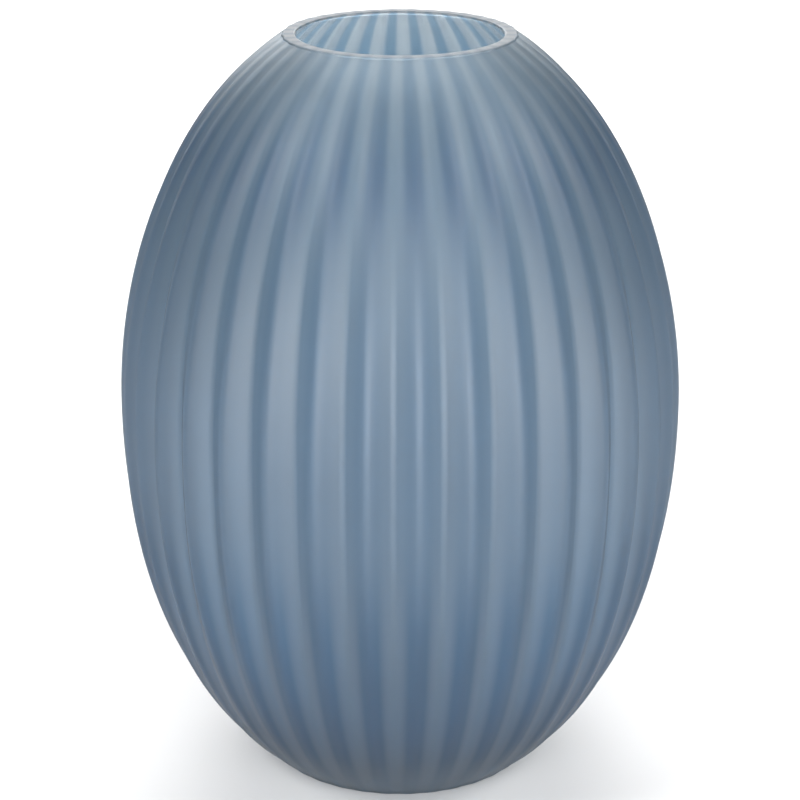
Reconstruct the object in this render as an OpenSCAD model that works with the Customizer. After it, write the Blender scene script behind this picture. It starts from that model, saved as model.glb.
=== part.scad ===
// Egg-shaped vase, blown in a mould as one piece of tinted satin glass.
// The outside is pleated into upright ribs that fade towards the base and the rim;
// the inside is smooth.
// The origin is the centre of the base, with +Z up. All sizes are in millimetres.

/* [Body] */
// Height from the table to the ground rim
vase_h = 200; // [150:5:400]
// Height of the widest level
belly_z = 100; // [70:1:125]
// Diameter over the ribs at the widest level
belly_d = 149; // [110:1:220]
// Diameter over the ribs at the rim
mouth_d = 59; // [40:1:90]
// Diameter over the ribs at the base
base_d = 71; // [56:1:95]
// Fullness of the outside below the belly, where 2 is an ellipse
lower_fullness = 2.13; // [2:0.01:2.3]

/* [Glass] */
// Wall thickness at the rim, from a rib's crest to the inside
rim_wall = 2.8; // [2:0.1:5]
// Wall thickness at the belly, from a valley between two ribs to the inside
belly_wall = 2.6; // [2:0.1:5]
// Thickness of the glass floor, measured from the table
floor_t = 8; // [6:0.5:14]
// Fullness of the inside below the belly, where 2 is an ellipse
cavity_fullness = 2.7; // [2.4:0.05:2.8]
// Width of the small bevel round the inner edge of the rim
rim_bevel = 0.6; // [0.2:0.1:1]

/* [Ribs] */
// Number of ribs round the body
rib_n = 36; // [24:1:48]
// Depth of the valleys between the ribs round the belly
rib_depth = 4; // [1:0.2:6]
// Depth of the valleys at the base and at the rim, where the ribs fade out
rib_end_depth = 0.3; // [0.1:0.1:0.8]
// Height over which the ribs rise from that depth to the full one, at each end
rib_run = 100; // [40:2:120]
// Share of a rib's width taken by its blunted crest, and by the floor of a valley
rib_blunt = 0.12; // [0.04:0.02:0.2]

/* [Base] */
// Width of the flat foot ring that the vase stands on
foot_w = 7; // [4:0.5:10]
// Height of the shallow dome inside the foot ring
dome_h = 3; // [1:0.5:5]

/* [Hidden] */

belly_r = belly_d / 2;
mouth_r = mouth_d / 2;
base_r = base_d / 2;
bore_r = mouth_r - rim_wall;
cavity_r = belly_r - rib_depth - belly_wall;
dome_edge_r = base_r - foot_w;
// radius of the ball that cuts the dome
dome_ball_r = (dome_edge_r * dome_edge_r + dome_h * dome_h) / (2 * dome_h);

// rings in each half of the outside
rings = 10;
// steps in each half of the cavity's outline
cavity_steps = 20;
// how far a cutting shape runs past the surface it cuts
over = 2;
glass_blue = [0.50, 0.59, 0.68];

// Angle at which a superellipse quarter has shrunk to the share r of its widest radius
function end_angle(r, fullness) = acos(pow(r, fullness / 2));

// Depth below the belly at which the outside, left uncut, would close on the axis
function closing_drop() =
    belly_z / pow(sin(end_angle(base_r / belly_r, lower_fullness)), 2 / lower_fullness);

// Points [radius, height] from the radius low_r up to the belly, on a superellipse
// that closes on the axis at the depth drop below the belly
function lower_half(widest_r, low_r, drop, fullness, steps) =
    [for (i = [0 : steps - 1])
        let (a = end_angle(low_r / widest_r, fullness) * (1 - i / steps))
        [widest_r * pow(cos(a), 2 / fullness), belly_z - drop * pow(sin(a), 2 / fullness)]];

// Points [radius, height] from the belly up to the radius top_r at the rim, on an ellipse
function upper_half(widest_r, top_r, steps) =
    let (last = end_angle(top_r / widest_r, 2))
    [for (i = [0 : steps])
        let (a = last * i / steps)
        [widest_r * cos(a), belly_z + (vase_h - belly_z) * sin(a) / sin(last)]];

// Share of the full rib depth, rising smoothly from 0 at an end of the vase to 1
function rib_rise(from_end) =
    let (t = min(1, from_end / rib_run))
    t * t * (3 - 2 * t);

// Depth of the valleys at the height z
function valley_depth(z) =
    rib_end_depth + (rib_depth - rib_end_depth) * rib_rise(min(z, vase_h - z));

// Solid bounded by the outline of the crests turned round the axis and pleated, with
// flat ends. Each rib has four points: the two edges of its blunted crest and then the
// two edges of the valley after it. Flat flanks join them.
module pleated_solid(outline) {
    pitch = 360 / rib_n;
    half_flat = rib_blunt * pitch / 2;
    around = 4 * rib_n;
    count = len(outline);
    points = [for (p = outline, rib = [0 : rib_n - 1], corner = [0 : 3])
        let (
            crest = corner < 2,
            middle = (rib + (crest ? 0 : 0.5)) * pitch,
            angle = middle + (corner % 2 == 0 ? -half_flat : half_flat),
            r = (crest ? p[0] : p[0] - valley_depth(p[1])) / cos(half_flat))
        [r * cos(angle), r * sin(angle), p[1]]];
    // a rising flank is split the other way from a falling one, so they mirror each other
    sides = [for (i = [0 : count - 2], j = [0 : around - 1])
        let (
            next = (j + 1) % around,
            low = i * around,
            high = low + around)
        each j % 4 == 1
            ? [[low + j, high + next, low + next], [low + j, high + j, high + next]]
            : [[low + j, high + j, low + next], [high + j, high + next, low + next]]];
    bottom = [for (j = [0 : around - 1]) j];
    top = [for (j = [0 : around - 1]) count * around - 1 - j];
    polyhedron(points, concat([bottom, top], sides), convexity = 10);
}

// Smooth inside of the vase, open upwards through the mouth
module cavity() {
    outline = concat(
        lower_half(cavity_r, 0, belly_z - floor_t, cavity_fullness, cavity_steps),
        upper_half(cavity_r, bore_r, cavity_steps),
        [[bore_r, vase_h + over], [0, vase_h + over]]);
    rotate_extrude($fn = 144) polygon(outline);
}

// Small cone that takes the sharp inner edge off the rim
module bevel_cut() {
    translate([0, 0, vase_h - rim_bevel])
        cylinder(h = 2 * rim_bevel, r1 = bore_r, r2 = bore_r + 2 * rim_bevel, $fn = 144);
}

// Shallow dome under the base, which leaves a flat foot ring to stand on
module dome_cut() {
    translate([0, 0, dome_h - dome_ball_r])
        sphere(r = dome_ball_r, $fn = 180);
}

module glass_body() {
    outline = concat(
        lower_half(belly_r, base_r, closing_drop(), lower_fullness, rings),
        upper_half(belly_r, mouth_r, rings));
    color(glass_blue)
        difference() {
            pleated_solid(outline);
            cavity();
            bevel_cut();
            dome_cut();
        }
}

glass_body();
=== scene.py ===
import math

import bmesh
import bpy
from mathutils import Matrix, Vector


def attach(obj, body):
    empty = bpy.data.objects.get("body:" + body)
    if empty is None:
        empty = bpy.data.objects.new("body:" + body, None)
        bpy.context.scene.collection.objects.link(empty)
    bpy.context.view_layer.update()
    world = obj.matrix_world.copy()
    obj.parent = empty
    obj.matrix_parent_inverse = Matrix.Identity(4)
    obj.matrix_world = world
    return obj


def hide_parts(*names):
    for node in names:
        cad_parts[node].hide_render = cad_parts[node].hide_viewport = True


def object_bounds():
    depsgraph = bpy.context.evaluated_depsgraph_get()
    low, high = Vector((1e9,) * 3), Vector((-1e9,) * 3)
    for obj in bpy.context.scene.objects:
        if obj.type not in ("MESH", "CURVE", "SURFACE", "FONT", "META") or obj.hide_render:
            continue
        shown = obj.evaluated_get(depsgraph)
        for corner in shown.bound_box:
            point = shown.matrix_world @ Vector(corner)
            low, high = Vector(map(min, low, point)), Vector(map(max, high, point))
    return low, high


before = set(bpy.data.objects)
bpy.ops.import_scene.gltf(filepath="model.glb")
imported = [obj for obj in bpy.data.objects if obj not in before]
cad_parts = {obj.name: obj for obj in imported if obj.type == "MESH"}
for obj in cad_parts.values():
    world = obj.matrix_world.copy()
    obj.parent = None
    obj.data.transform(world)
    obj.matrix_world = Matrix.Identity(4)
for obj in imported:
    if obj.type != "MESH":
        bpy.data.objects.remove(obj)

# The box of the CAD model, which gives the vase its height and its widest radius. The
# visual model has to stay inside it.
cad_low, cad_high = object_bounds()

MM = 0.001

# ---------------------------------------------------------------- sizes, in metres
HEIGHT = cad_high.z
BELLY_R = cad_high.x
BELLY_Z = HEIGHT / 2
MOUTH_R = 29.5 * MM
BASE_R = 35.5 * MM
LOWER_FULLNESS = 2.13

RIM_WALL = 2.8 * MM
BELLY_WALL = 2.6 * MM
FLOOR_T = 8 * MM
CAVITY_FULLNESS = 2.7

RIB_COUNT = 36
RIB_DEPTH = 4 * MM
RIB_END_DEPTH = 0.3 * MM
RIB_RUN = 100 * MM
# how round the crests are, where 0 is a sharp fold
CREST_SOFTNESS = 0.09
# how far the flanks bow, where 0 is straight and 1 is a quarter of a sine
SCOOP = 0.15

FOOT_W = 7 * MM
DOME_H = 3 * MM
HEEL_ROUND = 1.2 * MM
RIM_ROUND = 0.5 * MM
RIM_BEVEL = 0.6 * MM
# narrow flat strips between the dome and the ground foot ring, and beside the rim's bevel
FOOT_STEP = 0.3 * MM
RIM_STEP = 0.1 * MM

POINTS_PER_RIB = 12
WALL_RINGS = 96
CAVITY_RINGS = 60
DOME_RINGS = 10
ROUND_STEPS = 5


# ---------------------------------------------------------------- the vase's outline
def end_angle(share, fullness):
    """The angle at which a superellipse quarter has shrunk to this share of its radius."""
    return math.acos(share ** (fullness / 2))


def closing_drop():
    """How far below the belly the outside, left uncut, would close on the axis."""
    angle = end_angle(BASE_R / BELLY_R, LOWER_FULLNESS)
    return BELLY_Z / math.sin(angle) ** (2 / LOWER_FULLNESS)


def lower_radius(z, widest, drop, fullness):
    """Radius on a superellipse below the belly."""
    share = max(0.0, 1 - ((BELLY_Z - z) / drop) ** fullness)
    return widest * share ** (1 / fullness)


def upper_radius(z, widest, top):
    """Radius on an ellipse from the belly up to the rim's radius."""
    rise = (z - BELLY_Z) / (HEIGHT - BELLY_Z)
    return widest * math.sqrt(1 - (1 - (top / widest) ** 2) * rise ** 2)


def outside_radius(z):
    if z < BELLY_Z:
        return lower_radius(z, BELLY_R, closing_drop(), LOWER_FULLNESS)
    return upper_radius(z, BELLY_R, MOUTH_R)


def cavity_radius(z):
    widest = BELLY_R - RIB_DEPTH - BELLY_WALL
    if z < BELLY_Z:
        return lower_radius(z, widest, BELLY_Z - FLOOR_T, CAVITY_FULLNESS)
    return upper_radius(z, widest, MOUTH_R - RIM_WALL)


def outline():
    """Rings from the middle of the underside, up the outside, over the rim and down to
    the middle of the cavity's floor: (radius, height, ribbing, inside, ground)."""
    rings = []
    # the shallow dome under the base, and the flat foot ring round it
    dome_edge = BASE_R - FOOT_W
    ball = (dome_edge ** 2 + DOME_H ** 2) / (2 * DOME_H)
    for i in range(1, DOME_RINGS + 1):
        r = dome_edge * i / DOME_RINGS
        rings.append((r, DOME_H - ball + math.sqrt(ball ** 2 - r ** 2), 0, 0, 0))
    rings.append((dome_edge + FOOT_STEP, 0, 0, 0, 1))
    # the heel, where the foot ring turns up into the ribbed wall
    heel_top = outside_radius(HEEL_ROUND)
    flat_edge = BASE_R - HEEL_ROUND
    for i in range(ROUND_STEPS + 1):
        t = i / ROUND_STEPS
        blend = math.sin(t * math.pi / 2)
        r = flat_edge + (heel_top - flat_edge) * blend
        z = HEEL_ROUND * (1 - math.cos(t * math.pi / 2))
        rings.append((r, z, t, 0, 1 - t))
    # the ribbed wall
    wall_top = HEIGHT - RIM_ROUND
    for i in range(1, WALL_RINGS + 1):
        turn = math.pi * i / WALL_RINGS
        z = HEEL_ROUND + (wall_top - HEEL_ROUND) * (1 - math.cos(turn)) / 2
        rings.append((outside_radius(z), z, 1, 0, 0))
    # the rim's outer edge, its ground top and the small bevel inside it
    edge_r = outside_radius(wall_top)
    for i in range(1, ROUND_STEPS + 1):
        t = i / ROUND_STEPS * math.pi / 2
        r = edge_r - RIM_ROUND * (1 - math.cos(t))
        rings.append((r, wall_top + RIM_ROUND * math.sin(t), 1, 0, i / ROUND_STEPS))
    bore = MOUTH_R - RIM_WALL
    rings.append((bore + RIM_BEVEL + RIM_STEP, HEIGHT, 0, 0, 1))
    for i in range(ROUND_STEPS + 1):
        t = i / ROUND_STEPS
        r = bore + RIM_BEVEL * (1 - t) ** 2
        rings.append((r, HEIGHT - RIM_BEVEL * t * t, 0, t, 1 - t))
    # the smooth cavity
    cavity_top = HEIGHT - RIM_BEVEL
    for i in range(1, CAVITY_RINGS):
        turn = math.pi * i / CAVITY_RINGS
        z = cavity_top - (cavity_top - FLOOR_T) * (1 - math.cos(turn)) / 2
        rings.append((cavity_radius(z), z, 0, 1, 0))
    return rings


def fold(angle):
    """How far down a rib's flank an angle lies: 0 on a crest and 1 in a valley."""
    straight = math.acos(max(-1.0, min(1.0, math.cos(RIB_COUNT * angle)))) / math.pi
    # a rounded crest, and flanks that bow gently and meet in a sharp valley
    rounded = math.hypot(straight, CREST_SOFTNESS) - CREST_SOFTNESS
    rounded /= math.hypot(1, CREST_SOFTNESS) - CREST_SOFTNESS
    return rounded + (math.sin(rounded * math.pi / 2) - rounded) * SCOOP


def valley_depth(z):
    """How deep the valleys are at this height: they fade towards the base and the rim."""
    t = min(1, min(z, HEIGHT - z) / RIB_RUN)
    return RIB_END_DEPTH + (RIB_DEPTH - RIB_END_DEPTH) * t * t * (3 - 2 * t)


def make_vase():
    """One closed mesh, with a ring of points for each level of the outline."""
    around = RIB_COUNT * POINTS_PER_RIB
    angles = [2 * math.pi * j / around for j in range(around)]
    folds = [fold(a) for a in angles]
    mesh = bpy.data.meshes.new("vase")
    bm = bmesh.new()
    inside = bm.verts.layers.float.new("inside")
    ground = bm.verts.layers.float.new("ground")
    rows = []
    for r, z, ribbing, is_inside, is_ground in outline():
        row = []
        depth = valley_depth(z) * ribbing
        for angle, down in zip(angles, folds):
            ribbed = r - depth * down
            v = bm.verts.new((ribbed * math.cos(angle), ribbed * math.sin(angle), z))
            v[inside] = is_inside
            v[ground] = is_ground
            row.append(v)
        rows.append(row)
    for low, high in zip(rows, rows[1:]):
        for j in range(around):
            k = (j + 1) % around
            bm.faces.new((low[j], low[k], high[k], high[j]))
    under = bm.verts.new((0, 0, DOME_H))
    floor = bm.verts.new((0, 0, FLOOR_T))
    floor[inside] = 1
    for j in range(around):
        k = (j + 1) % around
        bm.faces.new((under, rows[0][k], rows[0][j]))
        bm.faces.new((floor, rows[-1][j], rows[-1][k]))
    bm.normal_update()
    for face in bm.faces:
        face.smooth = True
    bm.to_mesh(mesh)
    bm.free()
    vase = bpy.data.objects.new("satin_vase", mesh)
    bpy.context.scene.collection.objects.link(vase)
    return vase


# ---------------------------------------------------------------- materials
class Nodes:
    """Short calls for building a node tree."""

    def __init__(self, material):
        material.use_nodes = True
        self.tree = material.node_tree
        self.tree.nodes.clear()

    def add(self, kind, inputs=None, **settings):
        node = self.tree.nodes.new(kind)
        for name, value in settings.items():
            setattr(node, name, value)
        for name, value in (inputs or {}).items():
            self.feed(node.inputs[name], value)
        return node

    def feed(self, socket, value):
        if isinstance(value, bpy.types.NodeSocket):
            self.tree.links.new(value, socket)
        else:
            socket.default_value = value

    def math(self, operation, a, b=0.0):
        return self.add("ShaderNodeMath", {0: a, 1: b}, operation=operation).outputs[0]

    def ramp(self, value, low, high, to_low=0.0, to_high=1.0):
        node = self.add("ShaderNodeMapRange", interpolation_type="SMOOTHSTEP")
        names = ("Value", "From Min", "From Max", "To Min", "To Max")
        for name, given in zip(names, (value, low, high, to_low, to_high)):
            self.feed(node.inputs[name], given)
        return node.outputs["Result"]

    def mix(self, factor, a, b, blend="MIX"):
        node = self.add("ShaderNodeMix", data_type="RGBA", blend_type=blend)
        self.feed(node.inputs["Factor"], factor)
        self.feed(node.inputs[6], a)
        self.feed(node.inputs[7], b)
        return node.outputs[2]

    def noise(self, vector, scale, detail=2.0, roughness=0.5):
        return self.add("ShaderNodeTexNoise", {
            "Vector": vector,
            "Scale": scale,
            "Detail": detail,
            "Roughness": roughness,
        }).outputs["Fac"]


# tints by height at the foot, low down, round the belly, high up and at the rim: part glass
# colour and part painted light and shade, set together with the lamps, darker low down and high
# up and greyer at the foot and the rim
BASE_FOOT = (0.20, 0.25, 0.29, 1)
BASE_LOW = (0.11, 0.20, 0.31, 1)
BASE_MID = (0.17, 0.25, 0.34, 1)
BASE_HIGH = (0.11, 0.19, 0.27, 1)
BASE_TOP = (0.23, 0.30, 0.35, 1)
# the shares of the height at which those tints change over
FOOT_TOP = 0.12
LOW_TOP = 0.45
HIGH_FROM = 0.5
HIGH_TO = 0.8
TOP_FROM = 0.84
# the crests' tints, which multiply those: partly the blue of their thicker glass and partly
# painted shade for the darker flanks beside them
CREST_LOW = (0.22, 0.48, 0.67, 1)
CREST_HIGH = (0.37, 0.58, 0.77, 1)
CREST_TOP = (0.26, 0.48, 0.66, 1)
# the cosines across a rib between which that sets in: 1 is a crest and -1 a valley
CREST_SPAN = (-0.9, 0.6)
# its share round the belly, and the shares of the height at which it grows to all of it
CREST_MID = 0.4
CREST_GROWS_DOWN = (0.5, 0.25)
CREST_GROWS_UP = (0.75, 0.92)
# its share left at the foot and at the rim, and where it starts to fade below the rim
CREST_FOOT = 0.3
CREST_RIM = 0.35
RIM_FADE_FROM = 0.86
# the cavity, and its stripes that stand in for crests seen through the glass near the mouth
INSIDE_TINT = (0.93, 0.93, 0.93, 1)
INSIDE_CREST = (0.40, 0.56, 0.69, 1)
INSIDE_SPAN = (-0.3, 0.8)
INSIDE_FROM = (0.72, 0.9)
# the ground rim and foot ring, a little darker where a rib crosses them
GROUND_TINT = (0.17, 0.20, 0.23, 1)
GROUND_CREST = (0.09, 0.13, 0.17, 1)
GROUND_SPAN = (-0.6, 0.8)

TRANSMISSION = 0.86
IOR = 1.6
ABSORB = (0.42, 0.60, 0.71, 1)
DENSITY = 40

# noise scales: streaks drawn out along the ribs, soft clouds, ripples and etched grain
STREAK_SCALE = 90
STREAK_STRETCH = 0.15
CLOUD_SCALE = 22
RIPPLE_SCALE = 60
GRAIN_SCALE = 2600
GRAIN_ROUGHNESS = 0.6
# octaves of the slow noises
SLOW_DETAIL = 3
# the noise values over which clouds, and streaks with clouds, go from least to most
CLOUD_SPAN = (0.3, 0.7)
MOTTLE_SPAN = (0.35, 0.65)
# how far the streaks and clouds lighten and darken the tint
TONE_LOW = 0.97
TONE_SPREAD = 0.06

# roughness of the etched outside, and what clouds, grain, the inside and grinding add
ROUGH = 0.48
ROUGH_CLOUDS = 0.04
ROUGH_GRAIN = 0.04
ROUGH_INSIDE = -0.28
ROUGH_GROUND = 0.12

RELIEF_GRAIN = 0.02
RELIEF_RIPPLES = 0.25
RELIEF_STRENGTH = 0.35
RELIEF_HEIGHT = 0.4 * MM

FLOOR_TONES = ((0.63, 0.63, 0.63, 1), (0.65, 0.65, 0.65, 1))
FLOOR_NOISE_SCALE = 3
FLOOR_ROUGH = 0.9


def glass_colour(n, place, inside, ground, clouds):
    """Tint by height and by place across a rib, partly painted shade, with the cavity and the
    ground edges.
    """
    xyz = n.add("ShaderNodeSeparateXYZ", {0: place}).outputs
    height = n.math("DIVIDE", xyz["Z"], HEIGHT)
    low = n.ramp(height, 0.0, LOW_TOP)
    high = n.ramp(height, HIGH_FROM, HIGH_TO)
    foot = n.ramp(height, 0.0, FOOT_TOP)
    top = n.ramp(height, TOP_FROM, 1.0)
    # the tints by height, with painted shade low down and high up
    colour = n.mix(low, BASE_LOW, BASE_MID)
    colour = n.mix(high, colour, BASE_HIGH)
    colour = n.mix(foot, BASE_FOOT, colour)
    colour = n.mix(top, colour, BASE_TOP)

    # the crests are bluer and darker, partly for their thicker glass and partly as painted
    # shade, most of all low down and high up
    angle = n.math("ARCTAN2", xyz["Y"], xyz["X"])
    swing = n.math("COSINE", n.math("MULTIPLY", angle, RIB_COUNT))
    ends = n.math("MAXIMUM", n.ramp(height, *CREST_GROWS_DOWN), n.ramp(height, *CREST_GROWS_UP))
    crest = n.ramp(swing, *CREST_SPAN)
    for share in (
            n.ramp(ends, 0.0, 1.0, CREST_MID, 1.0),
            n.math("SUBTRACT", 1.0, inside),
            n.ramp(foot, 0.0, 1.0, CREST_FOOT, 1.0),
            n.ramp(height, 1.0, RIM_FADE_FROM, CREST_RIM, 1.0)):
        crest = n.math("MULTIPLY", crest, share)
    crest_tint_and_shade = n.mix(high, CREST_LOW, CREST_HIGH)
    crest_tint_and_shade = n.mix(top, crest_tint_and_shade, CREST_TOP)
    colour = n.mix(crest, colour, crest_tint_and_shade, "MULTIPLY")

    # slow streaks along the ribs and soft clouds, as uneven etching leaves
    along = {"Vector": place, "Scale": (1, 1, STREAK_STRETCH)}
    along = n.add("ShaderNodeMapping", along).outputs[0]
    streaks = n.noise(along, STREAK_SCALE, SLOW_DETAIL)
    mottle = n.math("ADD", n.math("MULTIPLY", streaks, 0.5), n.math("MULTIPLY", clouds, 0.5))
    tone = n.math("MULTIPLY", n.ramp(mottle, *MOTTLE_SPAN), TONE_SPREAD)
    tone = n.math("ADD", TONE_LOW, tone)
    grey = n.add("ShaderNodeCombineColor", {0: tone, 1: tone, 2: tone}).outputs[0]
    colour = n.mix(1.0, colour, grey, "MULTIPLY")

    lining = n.math("MULTIPLY", n.ramp(swing, *INSIDE_SPAN), n.ramp(height, *INSIDE_FROM))
    lining = n.mix(lining, INSIDE_TINT, INSIDE_CREST)
    cut = n.mix(n.ramp(swing, *GROUND_SPAN), GROUND_TINT, GROUND_CREST)
    colour = n.mix(inside, colour, lining)
    return n.mix(ground, colour, cut)


def satin_glass():
    """Tinted glass with an etched outside, a smoother inside and a ground rim and foot."""
    material = bpy.data.materials.new("satin_glass")
    n = Nodes(material)
    place = n.add("ShaderNodeTexCoord").outputs["Object"]
    inside = n.add("ShaderNodeAttribute", attribute_name="inside").outputs["Fac"]
    ground = n.add("ShaderNodeAttribute", attribute_name="ground").outputs["Fac"]
    clouds = n.noise(place, CLOUD_SCALE, SLOW_DETAIL)
    grain = n.noise(place, GRAIN_SCALE, roughness=GRAIN_ROUGHNESS)
    ripples = n.noise(place, RIPPLE_SCALE)

    rough = n.ramp(clouds, *CLOUD_SPAN, ROUGH, ROUGH + ROUGH_CLOUDS)
    rough = n.math("ADD", rough, n.math("MULTIPLY", grain, ROUGH_GRAIN))
    rough = n.math("ADD", rough, n.math("MULTIPLY", inside, ROUGH_INSIDE))
    rough = n.math("ADD", rough, n.math("MULTIPLY", ground, ROUGH_GROUND))

    relief = n.math(
        "ADD",
        n.math("MULTIPLY", grain, RELIEF_GRAIN),
        n.math("MULTIPLY", ripples, RELIEF_RIPPLES))
    bump = n.add("ShaderNodeBump", {
        "Height": relief,
        "Strength": RELIEF_STRENGTH,
        "Distance": RELIEF_HEIGHT,
    })

    shader = n.add("ShaderNodeBsdfPrincipled", {
        "Base Color": glass_colour(n, place, inside, ground, clouds),
        "Roughness": rough,
        "Normal": bump.outputs["Normal"],
        "Transmission Weight": TRANSMISSION,
        "IOR": IOR,
    })
    absorb = n.add("ShaderNodeVolumeAbsorption", {"Color": ABSORB, "Density": DENSITY})
    n.add("ShaderNodeOutputMaterial", {
        "Surface": shader.outputs[0],
        "Volume": absorb.outputs[0],
    })
    return material


def floor_material():
    material = bpy.data.materials.new("pale_floor")
    n = Nodes(material)
    place = n.add("ShaderNodeTexCoord").outputs["Object"]
    tone = n.mix(n.noise(place, FLOOR_NOISE_SCALE), *FLOOR_TONES)
    shader = n.add("ShaderNodeBsdfPrincipled", {"Base Color": tone, "Roughness": FLOOR_ROUGH})
    n.add("ShaderNodeOutputMaterial", {"Surface": shader.outputs[0]})
    return material


# ---------------------------------------------------------------- studio
FLOOR_HALF_WIDTH = 3.0
WORLD_LIGHT = 0.26
# name, place, point aimed at, width and height in metres, watts
AREA_LIGHTS = [
    ("front", (0.0, -1.9, 0.74), (0, 0, 0.1), (4.8, 1.48), 82),
    ("low", (0.05, -1.0, 0.13), (0, 0, 0.06), (1.0, 0.26), 5.5),
    ("top", (0.0, 0.6, 2.2), (0, 0, 0), (1.2, 1.2), 14),
    ("left", (-1.7, -0.6, 1.8), (0, 0, 0.13), (1.0, 1.0), 34),
    ("right", (1.7, -0.6, 1.8), (0, 0, 0.13), (1.0, 1.0), 34),
    ("back", (0.0, 1.7, 1.1), (0, 0, 0.15), (1.6, 1.6), 44),
]

CAMERA_DISTANCE = 9 * BELLY_R
CAMERA_ELEVATION = math.radians(20.3)
# how far round from -Y the camera stands, which puts a rib's crest just right of the middle
CAMERA_TURN = math.radians(-3.7)
CAMERA_LENS = 112.2
SENSOR = 36
CLIP_START = 0.01
CLIP_END = 20


def make_floor():
    mesh = bpy.data.meshes.new("floor")
    bm = bmesh.new()
    bmesh.ops.create_grid(bm, x_segments=4, y_segments=4, size=FLOOR_HALF_WIDTH)
    bm.to_mesh(mesh)
    bm.free()
    floor = bpy.data.objects.new("studio_floor", mesh)
    floor.data.materials.append(floor_material())
    bpy.context.scene.collection.objects.link(floor)


def aim(thing, place, target):
    """Put a light or a camera at a place, looking at the target."""
    thing.location = place
    thing.rotation_mode = "QUATERNION"
    thing.rotation_quaternion = (Vector(target) - Vector(place)).to_track_quat("-Z", "Y")


def make_area_light(name, place, target, size, watts):
    data = bpy.data.lights.new(name, "AREA")
    data.shape = "RECTANGLE"
    data.size, data.size_y = size
    data.energy = watts
    light = bpy.data.objects.new(name, data)
    bpy.context.scene.collection.objects.link(light)
    aim(light, place, target)


def make_world(strength):
    world = bpy.data.worlds.new("studio")
    world.use_nodes = True
    background = world.node_tree.nodes["Background"]
    background.inputs["Color"].default_value = (1, 1, 1, 1)
    background.inputs["Strength"].default_value = strength
    bpy.context.scene.world = world


def make_camera():
    data = bpy.data.cameras.new("camera")
    data.lens = CAMERA_LENS
    data.sensor_width = SENSOR
    data.clip_start = CLIP_START
    data.clip_end = CLIP_END
    camera = bpy.data.objects.new("camera", data)
    bpy.context.scene.collection.objects.link(camera)
    target = Vector((0, 0, HEIGHT / 2))
    flat = CAMERA_DISTANCE * math.cos(CAMERA_ELEVATION)
    offset = Vector((
        flat * math.sin(CAMERA_TURN),
        -flat * math.cos(CAMERA_TURN),
        CAMERA_DISTANCE * math.sin(CAMERA_ELEVATION),
    ))
    aim(camera, target + offset, target)
    bpy.context.scene.camera = camera


# ---------------------------------------------------------------- the scene
vase = make_vase()
vase.data.materials.append(satin_glass())
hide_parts("glass_body")
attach(vase, "root")

make_floor()
make_world(WORLD_LIGHT)
for light in AREA_LIGHTS:
    make_area_light(*light)
make_camera()
bpy.context.scene.view_settings.view_transform = "Standard"
